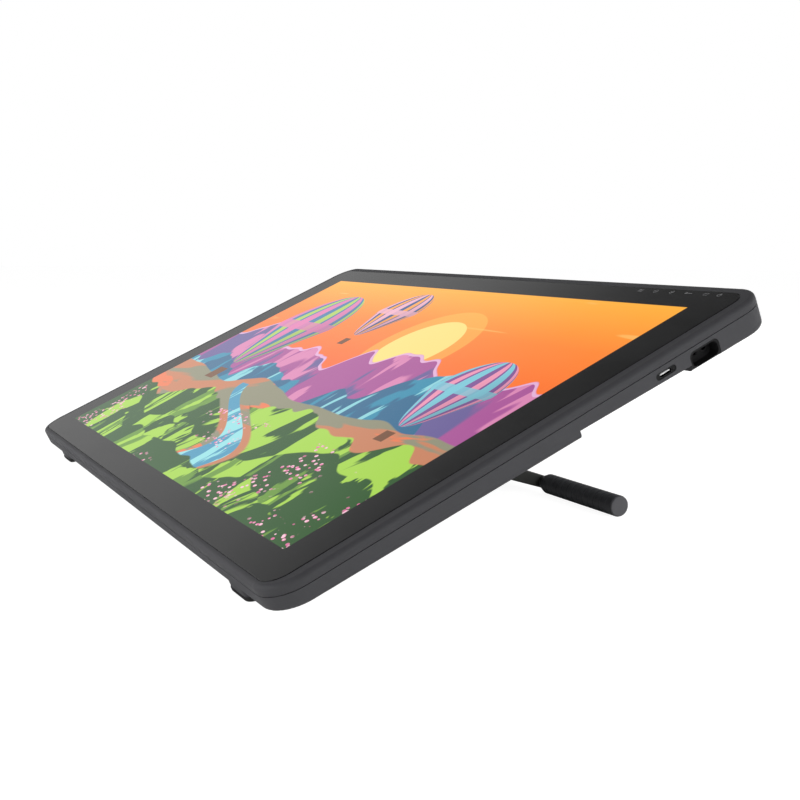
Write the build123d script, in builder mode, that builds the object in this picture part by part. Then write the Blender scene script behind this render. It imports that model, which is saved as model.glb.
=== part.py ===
from build123d import *
from math import asin, cos, degrees, radians, sin, tan
import os

os.makedirs("parts", exist_ok=True)

# Pen display on a fold-out stand. The glass leans back at its working tilt, with the
# front feet and the foot bar of the stand on the table, which is at height zero.
# Lengths are in millimetres, angles in degrees. Depths are measured behind the glass face.

# Angles of the display and its housing
tilt = 24.7
back_slope = 0.88
side_draft = 2.0
front_draft = 1.0

# Cover glass round the lit area
active_width = 476.64
active_height = 268.11
glass_side_border = 27.91
glass_end_border = 20.745
glass_width = active_width + 2 * glass_side_border
glass_height = active_height + 2 * glass_end_border
glass_corner = 12.0
glass_thickness = 1.8
glass_bevel = 0.4
lcd_border = 4.5
lcd_corner = 1.0

# Outline of the housing round the glass
rim_side = 7.9
rim_top = 7.7
rim_bottom = 4.0
rim_corner = 8.0
body_width = glass_width + 2 * rim_side
body_height = glass_height + rim_top + rim_bottom
body_corner = glass_corner + rim_corner
half_width = body_width / 2
body_top = glass_height / 2 + rim_top
body_bottom = glass_height / 2 + rim_bottom
body_row = (body_top - body_bottom) / 2
parting_depth = 5.8
cover_wall = 2.2
cover_edge_round = 3.0
cover_inner_round = 1.6
overrun = 3.0

# Layers of the display module, front to back, and the circuit boards behind them
bond_thickness = 0.3
lcd_thickness = 1.4
sheet_thickness = 0.6
guide_thickness = 2.0
reflector_thickness = 0.2
tray_thickness = 0.6
digitizer_thickness = 0.6
shield_thickness = 0.3
chassis_thickness = 1.0
standoff_height = 1.4
board_thickness = 1.0
chip_height = 1.5
base_room = 2.4

# Depth of each layer's back face
glass_back = glass_thickness
bond_back = glass_back + bond_thickness
lcd_back = bond_back + lcd_thickness
sheet_back = lcd_back + sheet_thickness
guide_back = sheet_back + guide_thickness
reflector_back = guide_back + reflector_thickness
tray_back = reflector_back + tray_thickness
digitizer_back = tray_back + digitizer_thickness
shield_back = digitizer_back + shield_thickness
chassis_back = shield_back + chassis_thickness
board_front = chassis_back + standoff_height
board_back = board_front + board_thickness
ledge_front = bond_back
base_depth = board_back + chip_height + base_room + cover_wall
loft_overrun = 9.9
loft_depth = base_depth + loft_overrun

# Backlight surround and light bar
surround_clearance = 0.3
surround_wall = 2.4
surround_step = 0.9
surround_front = lcd_back - surround_step
tray_lip_step = 0.6
tray_lip = surround_front + tray_lip_step
light_bar_room = 3.4
light_bar_thickness = 1.0
light_bar_inset = 7.82
lamp_width = 4.0
lamp_reach = 1.4
lamp_height = 1.2
lamp_count = 48
digitizer_margin = 3.0
lcd_width = active_width + 2 * lcd_border
lcd_height = active_height + 2 * lcd_border
light_bar_length = lcd_width - 2 * light_bar_inset
surround_inner_width = lcd_width + 2 * surround_clearance
surround_inner_height = lcd_height + 2 * surround_clearance
surround_width = surround_inner_width + 2 * surround_wall
surround_height = surround_inner_height + 2 * surround_wall
tray_width = surround_width + 2 * tray_thickness
tray_height = surround_height + 2 * tray_thickness

# Front frame
frame_gap = 0.25
frame_lip = 0.2
frame_fall = 0.25
frame_crease = frame_lip + frame_fall
frame_round = 2.8
frame_skirt = 1.6
frame_root = parting_depth + frame_skirt
window_side_room = 3.88
window_end_room = 1.145
window_width = tray_width + 2 * window_side_room
window_height = tray_height + 2 * window_end_room
window_corner = 4.0
tongue_inset = 4.1
tongue_wall = 1.5
tongue_reach = 0.7
groove_height = 0.45
groove_reach = 0.9
tape_inset = 1.0
tape_width = 8.0

# Chassis plate and its screws, on the ledge round the window
screw_clearance = 0.25
recess_share = 0.55
recess_depth_share = 0.6
thread_floor = 1.1
chassis_boss_radius = 3.0
chassis_boss_margin = 0.5
chassis_thread_radius = 1.05
chassis_head_radius = 2.3
chassis_head_height = 1.2
chassis_edge = 3.5
chassis_row_inset = 43.0
chassis_inner_column = 60.0
chassis_corner = 8.0
chassis_column = window_width / 2 + chassis_boss_radius + chassis_boss_margin
chassis_row = window_height / 2 - chassis_row_inset
chassis_inner_row = window_height / 2 + chassis_boss_radius + chassis_boss_margin
chassis_width = 2 * (chassis_column + chassis_edge)
chassis_height = 2 * (chassis_inner_row + chassis_edge)

# Ports at the right side
shell_width = 8.94
shell_height = 3.2
shell_wall = 0.3
shell_length = 9.4
shell_recess = 0.5
tongue_plate_width = 6.7
tongue_plate_height = 0.7
tongue_plate_reach = 6.2
tongue_base = 2.0
shell_clearance = 0.15
side_port_inset = 80.5
side_port_row = body_top - side_port_inset
side_port_depth = (board_front + board_back) / 2
collar_side = 2.58
collar_edge = 0.35
collar_width = shell_width + 2 * collar_side
collar_height = shell_height + 2 * collar_edge
collar_recess = 0.35
collar_reach = 2.6
niche_inset = 63.6
niche_width = 21
niche_low = body_top - niche_inset
niche_high = niche_low + niche_width
niche_rise = 2.9
niche_top = board_back - niche_rise
niche_round = 3.4
niche_wall = 1.6
niche_reach = 7.5
niche_floor = half_width - niche_reach
liner_wall = 1.0
liner_clearance = 0.1
liner_recess = 0.25
liner_back = niche_floor - liner_wall
niche_shell_step = 6.1
niche_shell_row = niche_low + niche_shell_step
niche_shell_depth = board_back + shell_height / 2
socket_step = 5.3
socket_row = niche_high - socket_step
socket_width = 8.4
socket_height = 5.0
socket_length = 11.0
socket_drop = 1.1
socket_depth = board_back + socket_drop
socket_nose_radius = 2.8
socket_bore_radius = 1.95
socket_bore_length = 8.0
socket_pin_radius = 0.6
socket_clearance = 0.2

# Relief along the lower edge of the right wall
relief_gap = 0.2
relief_length = 77
relief_high = niche_low - relief_gap
relief_low = relief_high - relief_length
relief_low_rise = 4.2
relief_high_rise = 2.15
relief_low_wall = base_depth - relief_low_rise
relief_low_width = 11.4
relief_high_wall = base_depth - relief_high_rise
relief_high_width = 9.0
relief_rib_reach = 11.1
relief_rib_inset = 2.8
relief_rib_left = half_width - relief_rib_reach
relief_rib_right = half_width - relief_rib_inset
relief_rib_rise = 4.7
relief_rib_floor = 1.9
relief_rib_front = base_depth - relief_rib_rise
relief_rib_back = base_depth - relief_rib_floor
relief_rib_corner = 2.0

# Screws of the housing, between the chassis plate and the walls
case_boss_radius = 3.2
case_boss_rise = 0.15
case_boss_end = chassis_back + case_boss_rise
case_thread_radius = 1.25
case_clearance = 0.35
case_clear_radius = case_thread_radius + case_clearance
case_head_radius = 2.6
case_head_height = 1.5
case_head_clearance = 0.4
case_recess_radius = case_head_radius + case_head_clearance
case_seat = 2.0
case_side_gap = 2.8
case_long_gap = 3.4
case_side_place = chassis_width / 2 + case_boss_radius + case_side_gap
case_long_place = window_height / 2 + case_boss_radius + case_long_gap
case_long_column = 120.0
case_low_inset = 40.8
case_high_inset = 24.5
case_relief_gap = 19.2
case_side_rows = [case_low_inset - body_bottom, relief_low - case_relief_gap, body_top - case_high_inset]
case_joint_gap = 0.1
chassis_notch_clearance = 1.0
chassis_notch_radius = case_boss_radius + chassis_notch_clearance

# Circuit boards
standoff_radius = 2.4
board_screw_radius = 0.95
board_head_radius = 2.0
board_head_height = 1.0
board_corner = 2.0
board_hole_inset = 4.5
main_gap = 0.3
main_width = 82.3
main_height = 90.0
main_top_inset = 32.5
main_right = liner_back - main_gap
main_left = main_right - main_width
main_high = body_top - main_top_inset
main_low = main_high - main_height
main_tab_reach = 4.0
main_tab_width = 17.0
link_step = 28.0
link_row = main_low + link_step
display_ribbon_step = 26.0
display_row = main_high - display_ribbon_step
pen_board_width = 84.0
pen_board_height = 46.0
pen_board_inset = 90.0
pen_board_column = pen_board_inset - window_width / 2
pen_board_row = link_row
key_board_width = 84.0
key_board_height = 6.4
key_board_inset = 55.5
key_board_drop = 3.6
key_board_column = glass_width / 2 - key_board_inset
key_board_row = glass_height / 2 - key_board_drop
key_board_thickness = 0.8
key_pocket_clearance = 0.2
chip_shares = [(-0.22, 0.10, 0.24, 0.24), (-0.10, -0.28, 0.16, 0.12), (0.22, -0.02, 0.12, 0.18)]

# Flat cables
ribbon_thickness = 0.3
ribbon_width = 24.0
ribbon_narrow = 6.0
ribbon_start = 96.0
ribbon_landing = 7.0
ribbon_ramp = 5.0
slot_margin = 1.0
digitizer_ribbon_gap = 24.0
pen_left = pen_board_column - pen_board_width / 2
pen_right = pen_board_column + pen_board_width / 2
digitizer_ribbon_column = pen_left - digitizer_ribbon_gap


def base_at(row):
    """Depth of the back face at a height on the display."""
    return base_depth + row * tan(radians(back_slope))


# Front feet
foot_inset = 65.1
foot_edge_inset = 0.6
foot_column = half_width - foot_inset
foot_face = body_bottom - foot_edge_inset
pedestal_width = 32.0
pedestal_length = 16.0
pedestal_corner = 7.5
pedestal_height = 4.53
pedestal_depth = base_at(-foot_face) + pedestal_height
pedestal_inset = 0.5
pad_side = 1.0
pad_end = 0.8
pad_thickness = 3.0
pad_width = pedestal_width + 2 * pad_side
pad_length = pedestal_length + 2 * pad_end
pad_corner = pedestal_corner + pad_side
pad_depth = pedestal_depth + pad_thickness
pad_round = 1.8

# Mounting face on the back, with two square patterns of threads
vesa_pitch = 100.0
vesa_step = 25.0
stand_pitch = vesa_pitch - vesa_step
mount_recess = 0.8
mount_margin = 13.0
mount_recess_size = vesa_pitch + 2 * mount_margin
mount_recess_corner = 9.0
thread_radius = 2.0
insert_wall = 1.2
insert_radius = thread_radius + insert_wall
insert_length = 4.4
insert_cover = 0.3
insert_boss_wall = 2.0
insert_boss_radius = insert_radius + insert_boss_wall
insert_boss_rise = 0.2
insert_boss_height = insert_cover + insert_length + insert_boss_rise

# Stand bracket and hinge
shaft_radius = 5.0
hub_wall = 3.4
hub_radius = shaft_radius + hub_wall
running_gap = 0.05
ear_inner = 44.0
ear_thickness = 6.0
ear_outer = ear_inner + ear_thickness
ear_spread = 2.6
ear_foot = hub_radius + ear_spread
bracket_margin = 6.5
bracket_width = 2 * ear_outer
bracket_height = stand_pitch + 2 * bracket_margin
bracket_corner = 7.0
bracket_thickness = 3.0
hinge_row = -15.0
hinge_gap = 1.7
hinge_drop = bracket_thickness + hub_radius + hinge_gap
stand_head_radius = 3.9
stand_head_height = 2.4
stand_screw_reach = 4.0

# Leg of the stand
leg_length = 155.9
knuckle_gap = 0.6
knuckle_width = 10.4
knuckle_inner = ear_outer + knuckle_gap
leg_half_width = knuckle_inner + knuckle_width
shaft_inset = 0.2
shaft_end = leg_half_width - shaft_inset
rod_radius = 3.0
rod_wall = 1.5
leg_thickness = 2 * (rod_radius + rod_wall)
leg_gap = 2.4
leg_start = hub_radius + leg_gap
leg_edge_round = 1.5
knuckle_centre = 11.0
knuckle_overlap = 6.0
bush_wall = 1.15
cap_thickness = 2.0
cap_bevel = 0.8
panel_side_margin = 14.0
panel_start_margin = 13.2
panel_end_margin = 23.9
panel_half_width = leg_half_width - panel_side_margin
panel_start = leg_start + panel_start_margin
panel_end = leg_length - panel_end_margin
panel_depth = 2.5
panel_corner = 6.0
panel_clearance = 0.25
panel_screw_radius = 1.2
panel_screw_length = 5.0
panel_head_radius = 2.4
panel_head_height = 1.2
panel_screw_inset = 9.0

# Release lever, between the brakes and the ears of the bracket
lever_angle = 6.5
lever_hub_gap = 0.6
lever_hub_width = 10.4
lever_hub_outer = ear_inner - lever_hub_gap
lever_hub_inner = lever_hub_outer - lever_hub_width
lever_cup = 4.0
lever_cup_wall = 1.0
lever_cup_radius = hub_radius - lever_cup_wall
lever_spring_play = 0.4
lever_spring_radius = lever_cup_radius - lever_spring_play
lever_spring_gap = 0.3
lever_arm_step = 2.0
lever_arm_width = 6.0
lever_arm_inner = lever_hub_inner + lever_arm_step
lever_arm_outer = lever_arm_inner + lever_arm_width
lever_arm_thickness = 4.4
lever_length = 35.0
lever_bar_radius = 3.5
grip_wall = 1.5
grip_radius = lever_bar_radius + grip_wall
grip_gap = 6.0
grip_half_length = lever_arm_inner - grip_gap
grip_bevel = 1.0

# Brakes of the hinge
brake_gap = 0.6
brake_end = lever_hub_inner - brake_gap
brake_wall = 1.0
brake_clearance = 0.2
brake_spring_radius = hub_radius - brake_wall - brake_clearance
brake_play = 0.4

# Foot bar
core_wall = 1.6
core_radius = rod_radius + core_wall
sleeve_radius = 7.1
sleeve_neck = 1.7
sleeve_neck_radius = rod_radius + sleeve_neck
sleeve_gap = 0.3
sleeve_taper = 6.7
sleeve_length = 80.0
sleeve_start = leg_half_width + sleeve_gap
sleeve_shoulder = sleeve_start + sleeve_taper
sleeve_end = sleeve_shoulder + sleeve_length
core_step = 4.7
core_start = sleeve_start + core_step
rod_inset = 0.5
rod_end = sleeve_end - rod_inset
rib_count = 13
rib_depth = 0.45
rib_groove = 1.9
end_disc_inset = 0.3
end_disc_radius = sleeve_radius - end_disc_inset
end_disc_thickness = 1.4
end_disc_bevel = 0.4

# Where the display stands: the rounded front edge of the foot pads is on the table
pad_row = -foot_face + pad_round
pad_axis_depth = pad_depth - pad_round
lean = radians(tilt)
head_height = pad_round - pad_row * sin(lean) + pad_axis_depth * cos(lean)
back_lean = radians(tilt - back_slope)
mid_drop = base_depth - mount_recess

# Where the leg comes down: the sleeves of the foot bar are on the table as well
hinge_v = hinge_row * cos(radians(back_slope)) - hinge_drop * sin(radians(back_slope))
hinge_w = -mid_drop - hinge_row * sin(radians(back_slope)) - hinge_drop * cos(radians(back_slope))
hinge_height = head_height + hinge_v * sin(lean) + hinge_w * cos(lean)
leg_lean = asin((hinge_height - sleeve_radius) / leg_length)
hinge_ahead = hinge_v * cos(lean) - hinge_w * sin(lean)
bar_ahead = hinge_ahead + leg_length * cos(leg_lean)

# The origin lies midway between the frame's front and the foot bar's back
frame_turn_row = body_bottom - frame_round
frame_turn_depth = frame_crease + frame_round
front_reach = -frame_turn_row * cos(lean) + frame_turn_depth * sin(lean) - frame_round
rear_reach = bar_ahead + sleeve_radius
head_shift = -(front_reach + rear_reach) / 2

head = Plane(
    origin=(0, head_shift, head_height),
    x_dir=(1, 0, 0),
    z_dir=(0, -sin(lean), cos(lean)),
)
side = Plane(origin=head.origin, x_dir=head.y_dir, z_dir=(1, 0, 0))
back = Plane(
    origin=head.offset(-base_depth).origin,
    x_dir=(1, 0, 0),
    z_dir=(0, -sin(back_lean), cos(back_lean)),
)
mount_face = back.offset(mount_recess)
hinge_point = (0, head_shift + hinge_ahead, hinge_height)
hinge_side = Plane(origin=hinge_point, x_dir=back.y_dir, z_dir=(1, 0, 0))
leg = Plane(
    origin=hinge_point,
    x_dir=(1, 0, 0),
    z_dir=(0, sin(leg_lean), cos(leg_lean)),
)
leg_side = Plane(origin=hinge_point, x_dir=leg.y_dir, z_dir=(1, 0, 0))
lever_lean = lean + radians(lever_angle)
lever_side = Plane(
    origin=hinge_point,
    x_dir=(0, -cos(lever_lean), -sin(lever_lean)),
    z_dir=(1, 0, 0),
)
bar_side = Plane(
    origin=(0, head_shift + bar_ahead, sleeve_radius),
    x_dir=(0, 1, 0),
    z_dir=(1, 0, 0),
)

# Places of the fasteners on the glass plane
case_places = [(s * case_side_place, row) for s in (-1, 1) for row in case_side_rows]
case_places += [(s * case_long_column, t * case_long_place) for s in (-1, 1) for t in (-1, 1)]
chassis_places = [(s * chassis_column, t * chassis_row) for s in (-1, 1) for t in (-1, 1)]
chassis_places += [
    (s * chassis_inner_column, t * chassis_inner_row) for s in (-1, 1) for t in (-1, 1)
]
notch_places = [(s * case_long_column, t * case_long_place) for s in (-1, 1) for t in (-1, 1)]


def square_places(pitch):
    """The four corners of a square pattern."""
    half = pitch / 2
    return [(s * half, t * half) for s in (-1, 1) for t in (-1, 1)]


def board_places(column, row, width, height):
    """Fixing holes near the four corners of a board."""
    across = width / 2 - board_hole_inset
    up = height / 2 - board_hole_inset
    return [(column + s * across, row + t * up) for s in (-1, 1) for t in (-1, 1)]


main_column = (main_right + main_left) / 2
main_row = (main_high + main_low) / 2
main_places = board_places(main_column, main_row, main_width, main_height)
pen_places = board_places(pen_board_column, pen_board_row, pen_board_width, pen_board_height)


def layer(front, rear, width, height, corner, centre=(0, 0), mode=Mode.ADD):
    """A rounded plate between two depths behind the glass face."""
    with BuildSketch(head.offset(-rear)) as outline:
        with Locations(centre):
            RectangleRounded(width, height, corner)
    extrude(outline.sketch, amount=rear - front, mode=mode)


def posts(plane, places, radius, height, mode=Mode.ADD):
    """Round posts or holes that rise from a plane along its normal."""
    with BuildSketch(plane) as ends:
        with Locations(*places):
            Circle(radius)
    extrude(ends.sketch, amount=height, mode=mode)


def keyways(plane, places, radius, height):
    """Hexagonal drive recesses in screw heads."""
    with BuildSketch(plane) as ends:
        with Locations(*places):
            RegularPolygon(radius, 6)
    extrude(ends.sketch, amount=height, mode=Mode.SUBTRACT)


def screws(plane, places, head_radius, head_height, shank_radius, shank_length):
    """Round-headed screws: the heads hang below the plane and the shanks rise above it."""
    posts(plane, places, head_radius, -head_height)
    posts(plane, places, shank_radius, shank_length)
    recess_depth = head_height * recess_depth_share
    keyways(plane.offset(-head_height), places, head_radius * recess_share, recess_depth)


def turned(plane, start, end, radius, mode=Mode.ADD):
    """A round bar along the width, between two distances from the middle."""
    with BuildSketch(plane.offset(start)) as ring:
        Circle(radius)
    extrude(ring.sketch, amount=end - start, mode=mode)


def slot_through(plane, start, end, width, height, centre, mode=Mode.ADD):
    """A bar of rounded section along the width, as the shell of a port has."""
    with BuildSketch(plane.offset(start)) as section:
        with Locations(centre):
            SlotOverall(width, height)
    extrude(section.sketch, amount=end - start, mode=mode)


def cover_form(inset, floor, edge_round):
    """The tapered form of the back cover, drawn in by a wall and a floor."""
    reach = loft_depth - parting_depth
    drawn = tan(radians(side_draft)) * reach
    front_drawn = tan(radians(front_draft)) * reach
    root_width = body_width - 2 * inset - 2 * drawn
    root_height = body_height - 2 * inset - drawn - front_drawn
    with BuildPart() as form:
        with BuildSketch(head.offset(-parting_depth)):
            with Locations((0, body_row)):
                RectangleRounded(body_width - 2 * inset, body_height - 2 * inset, body_corner - inset)
        with BuildSketch(head.offset(-loft_depth)):
            with Locations((0, body_row + (front_drawn - drawn) / 2)):
                RectangleRounded(root_width, root_height, body_corner - inset - drawn)
        loft(ruled=True)
        split(bisect_by=back.offset(floor), keep=Keep.TOP)
        base = form.faces().sort_by(Axis(back.origin, back.z_dir))[0]
        fillet(base.edges(), edge_round)
    return form.part


cover_outer = cover_form(0, 0, cover_edge_round)
cover_inner = cover_form(cover_wall, cover_wall, cover_inner_round)
liner_limit = cover_form(liner_recess, 0, cover_edge_round)
collar_limit = cover_form(collar_recess, 0, cover_edge_round)

# Cover glass, with its front edge broken
with BuildPart() as cover_glass:
    layer(0, glass_back, glass_width, glass_height, glass_corner)
    glass_face = cover_glass.faces().sort_by(Axis(head.origin, head.z_dir))[-1]
    chamfer(glass_face.edges(), glass_bevel)

# Tape that holds the glass on the ledge of the frame, with room for the key board
key_room = 2 * key_pocket_clearance
with BuildPart() as edge_tape:
    tape_span = 2 * (tape_inset + tape_width)
    tape_corner = glass_corner - tape_inset
    layer(
        glass_back, ledge_front, glass_width - 2 * tape_inset, glass_height - 2 * tape_inset, tape_corner
    )
    layer(
        glass_back,
        ledge_front,
        glass_width - tape_span,
        glass_height - tape_span,
        glass_corner - tape_inset - tape_width,
        mode=Mode.SUBTRACT,
    )
    with BuildSketch(head.offset(-ledge_front)):
        with Locations((key_board_column, key_board_row)):
            Rectangle(key_board_width + key_room, key_board_height + key_room)
    extrude(amount=bond_thickness, mode=Mode.SUBTRACT)

# Display module
with BuildPart() as optical_bond:
    layer(glass_back, bond_back, lcd_width, lcd_height, lcd_corner)

with BuildPart() as lcd_panel:
    layer(bond_back, lcd_back, lcd_width, lcd_height, lcd_corner)

with BuildPart() as diffuser_sheets:
    layer(lcd_back, sheet_back, lcd_width, lcd_height, lcd_corner)

with BuildPart() as light_guide:
    layer(
        sheet_back, guide_back, lcd_width, lcd_height - light_bar_room, lcd_corner, (0, light_bar_room / 2)
    )

# Light bar along the lower edge of the light guide, with its row of lamps
light_bar_row = -lcd_height / 2 + light_bar_thickness / 2
lamp_row = -lcd_height / 2 + light_bar_thickness + lamp_reach / 2
lamp_depth = (sheet_back + guide_back) / 2
with BuildPart() as light_bar:
    with BuildSketch(head.offset(-guide_back)):
        with Locations((0, light_bar_row)):
            Rectangle(light_bar_length, light_bar_thickness)
    extrude(amount=guide_thickness)
    with BuildSketch(head.offset(-lamp_depth)):
        with Locations((0, lamp_row)):
            with GridLocations(light_bar_length / lamp_count, 0, lamp_count, 1):
                Rectangle(lamp_width, lamp_reach)
    extrude(amount=lamp_height / 2, both=True)

with BuildPart() as reflector_sheet:
    layer(guide_back, reflector_back, lcd_width, lcd_height, lcd_corner)

with BuildPart() as backlight_surround:
    layer(surround_front, reflector_back, surround_width, surround_height, lcd_corner)
    layer(
        surround_front,
        reflector_back,
        surround_inner_width,
        surround_inner_height,
        lcd_corner,
        mode=Mode.SUBTRACT,
    )

with BuildPart() as backlight_tray:
    layer(tray_lip, tray_back, tray_width, tray_height, lcd_corner)
    layer(tray_lip, reflector_back, surround_width, surround_height, lcd_corner, mode=Mode.SUBTRACT)

digitizer_width = lcd_width + 2 * digitizer_margin
digitizer_height = lcd_height + 2 * digitizer_margin

with BuildPart() as digitizer_board:
    layer(tray_back, digitizer_back, digitizer_width, digitizer_height, lcd_corner)

with BuildPart() as shield_plate:
    layer(digitizer_back, shield_back, digitizer_width, digitizer_height, lcd_corner)

# Pressed chassis plate, notched for the long screw bosses and slotted for the cables
slot_length = ribbon_width + 2 * slot_margin
with BuildPart() as chassis_plate:
    layer(shield_back, chassis_back, chassis_width, chassis_height, chassis_corner)
    posts(head.offset(-chassis_back), notch_places, chassis_notch_radius, chassis_thickness, Mode.SUBTRACT)
    posts(
        head.offset(-chassis_back),
        chassis_places,
        chassis_thread_radius + screw_clearance,
        chassis_thickness,
        Mode.SUBTRACT,
    )
    with BuildSketch(head.offset(-chassis_back)):
        with Locations((ribbon_start, display_row), (digitizer_ribbon_column, pen_board_row)):
            SlotOverall(slot_length, 2 * slot_margin, rotation=90)
        with Locations((key_board_column, chassis_height / 2)):
            Rectangle(ribbon_narrow + 2 * slot_margin, 2 * slot_margin + 2 * ribbon_thickness)
    extrude(amount=chassis_thickness, mode=Mode.SUBTRACT)

with BuildPart() as chassis_screws:
    screws(
        head.offset(-chassis_back),
        chassis_places,
        chassis_head_radius,
        chassis_head_height,
        chassis_thread_radius,
        chassis_back - ledge_front - thread_floor,
    )

# Front frame: a sloping lip round the glass that rolls over into the side
with BuildPart() as front_frame:
    for outline_depth in (frame_root, frame_crease):
        with BuildSketch(head.offset(-outline_depth)):
            with Locations((0, body_row)):
                RectangleRounded(body_width, body_height, body_corner)
    with BuildSketch(head.offset(-frame_lip)):
        RectangleRounded(
            glass_width + 2 * frame_gap, glass_height + 2 * frame_gap, glass_corner + frame_gap
        )
    loft(ruled=True)
    crease = front_frame.edges().group_by(Axis(head.origin, head.z_dir))[-3]
    fillet(crease, frame_round)
    split(bisect_by=head.offset(-parting_depth), keep=Keep.TOP)
    layer(
        0,
        ledge_front,
        glass_width + 2 * frame_gap,
        glass_height + 2 * frame_gap,
        glass_corner + frame_gap,
        mode=Mode.SUBTRACT,
    )
    tongue_width = body_width - 2 * tongue_inset
    tongue_height = body_height - 2 * tongue_inset
    tongue_corner = body_corner - tongue_inset
    tongue_back = parting_depth + tongue_reach
    layer(ledge_front, tongue_back, tongue_width, tongue_height, tongue_corner, (0, body_row))
    layer(
        parting_depth,
        tongue_back,
        tongue_width - 2 * tongue_wall,
        tongue_height - 2 * tongue_wall,
        tongue_corner - tongue_wall,
        (0, body_row),
        Mode.SUBTRACT,
    )
    posts(head.offset(-case_boss_end), case_places, case_boss_radius, case_boss_end - ledge_front)
    posts(head.offset(-shield_back), chassis_places, chassis_boss_radius, shield_back - ledge_front)
    posts(
        head.offset(-case_boss_end),
        case_places,
        case_thread_radius,
        case_boss_end - ledge_front - thread_floor,
        Mode.SUBTRACT,
    )
    posts(
        head.offset(-shield_back),
        chassis_places,
        chassis_thread_radius,
        shield_back - ledge_front - thread_floor,
        Mode.SUBTRACT,
    )
    layer(0, loft_depth, window_width, window_height, window_corner, mode=Mode.SUBTRACT)
    pocket_depth = glass_back + key_board_thickness
    with BuildSketch(head.offset(-pocket_depth)):
        with Locations((key_board_column, key_board_row)):
            Rectangle(key_board_width + key_room, key_board_height + key_room)
    extrude(amount=key_board_thickness, mode=Mode.SUBTRACT)
    with BuildSketch(head.offset(-tongue_back)):
        with Locations((key_board_column, chassis_height / 2)):
            Rectangle(ribbon_narrow + key_room, 2 * ribbon_thickness)
    extrude(amount=tongue_back - ledge_front, mode=Mode.SUBTRACT)

# Touch key board, under the glass at the upper right
with BuildPart() as touch_key_board:
    with BuildSketch(head.offset(-pocket_depth)):
        with Locations((key_board_column, key_board_row)):
            Rectangle(key_board_width, key_board_height)
    extrude(amount=key_board_thickness)

# Back cover
rib_width = relief_rib_right - relief_rib_left
rib_column = (relief_rib_right + relief_rib_left) / 2
rib_length = relief_high - relief_low
rib_row = (relief_high + relief_low) / 2
niche_row = (niche_high + niche_low) / 2
niche_back = loft_depth
pedestal_row = -foot_face + pedestal_inset + pedestal_length / 2
pad_middle = -foot_face + pad_length / 2


def niche_section(plane, spread, rear=niche_back):
    """Section of the port niche down to a depth, drawn out by a wall."""
    top = niche_top - spread
    with BuildSketch(plane) as section:
        with Locations((niche_row, -(top + rear) / 2)):
            RectangleRounded(niche_width + 2 * spread, rear - top, niche_round)
    return section.sketch


def relief_section(row, wall_depth, width):
    """Triangle between the side wall and the back, at a height on the display."""
    section_plane = Plane(origin=side.from_local_coords((row, 0, 0)), x_dir=(1, 0, 0), z_dir=-head.y_dir)
    outer = half_width + overrun
    deep = base_at(row) + overrun
    edge = half_width - tan(radians(side_draft)) * (wall_depth - parting_depth)
    slope = (base_at(row) - wall_depth) / width
    with BuildSketch(section_plane) as section:
        with BuildLine():
            Polyline(
                (outer, -(wall_depth - slope * (outer - edge))),
                (edge - width - overrun / slope, -deep),
                (outer, -deep),
                close=True,
            )
        make_face()
    return section.sketch


relief_low_face = relief_section(relief_low, relief_low_wall, relief_low_width)
relief_high_face = relief_section(relief_high, relief_high_wall, relief_high_width)

with BuildPart() as cover_shell:
    add(cover_outer)
    add(cover_inner, mode=Mode.SUBTRACT)
    # Shadow groove at the joint with the frame
    with BuildSketch(head.offset(-parting_depth - groove_height)):
        with Locations((0, body_row)):
            RectangleRounded(body_width + 2 * overrun, body_height + 2 * overrun, body_corner)
            RectangleRounded(
                body_width - 2 * groove_reach,
                body_height - 2 * groove_reach,
                body_corner - groove_reach,
                mode=Mode.SUBTRACT,
            )
    extrude(amount=groove_height, mode=Mode.SUBTRACT)
    # Screw bosses and the recesses of their heads
    for column, row in case_places:
        seat = base_at(row) - case_seat
        boss_top = case_boss_end + case_joint_gap
        posts(head.offset(-seat - case_seat / 2), [(column, row)], case_recess_radius + cover_wall / 2,
              seat + case_seat / 2 - boss_top)
        posts(head.offset(-seat), [(column, row)], case_recess_radius, -case_seat - overrun, Mode.SUBTRACT)
        posts(head.offset(-seat - overrun), [(column, row)], case_clear_radius, loft_depth, Mode.SUBTRACT)
    # Bosses and holes for the threaded inserts
    for pitch in (vesa_pitch, stand_pitch):
        posts(mount_face, square_places(pitch), insert_boss_radius, insert_boss_height)
    with BuildSketch(back.offset(-overrun)):
        RectangleRounded(mount_recess_size, mount_recess_size, mount_recess_corner)
    extrude(amount=overrun + mount_recess, mode=Mode.SUBTRACT)
    for pitch in (vesa_pitch, stand_pitch):
        posts(mount_face, square_places(pitch), thread_radius + screw_clearance, insert_cover, Mode.SUBTRACT)
        posts(mount_face.offset(insert_cover), square_places(pitch), insert_radius, insert_length,
              Mode.SUBTRACT)
    # Pedestals of the front feet
    with BuildSketch(head.offset(-pedestal_depth)):
        with Locations((-foot_column, pedestal_row), (foot_column, pedestal_row)):
            RectangleRounded(pedestal_width, pedestal_length, pedestal_corner)
    extrude(amount=pedestal_depth - base_at(-foot_face) + cover_wall)
    # Thicker corner behind the relief of the right wall
    layer(relief_rib_front, relief_rib_back, rib_width, rib_length, relief_rib_corner, (rib_column, rib_row))

# Walls of the port niche, cut to the outside of the cover, and the relief that runs up to them
with BuildPart() as niche_tunnel:
    extrude(niche_section(side.offset(liner_back), niche_wall), amount=half_width - liner_back)
    add(cover_outer, mode=Mode.INTERSECT)

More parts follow.
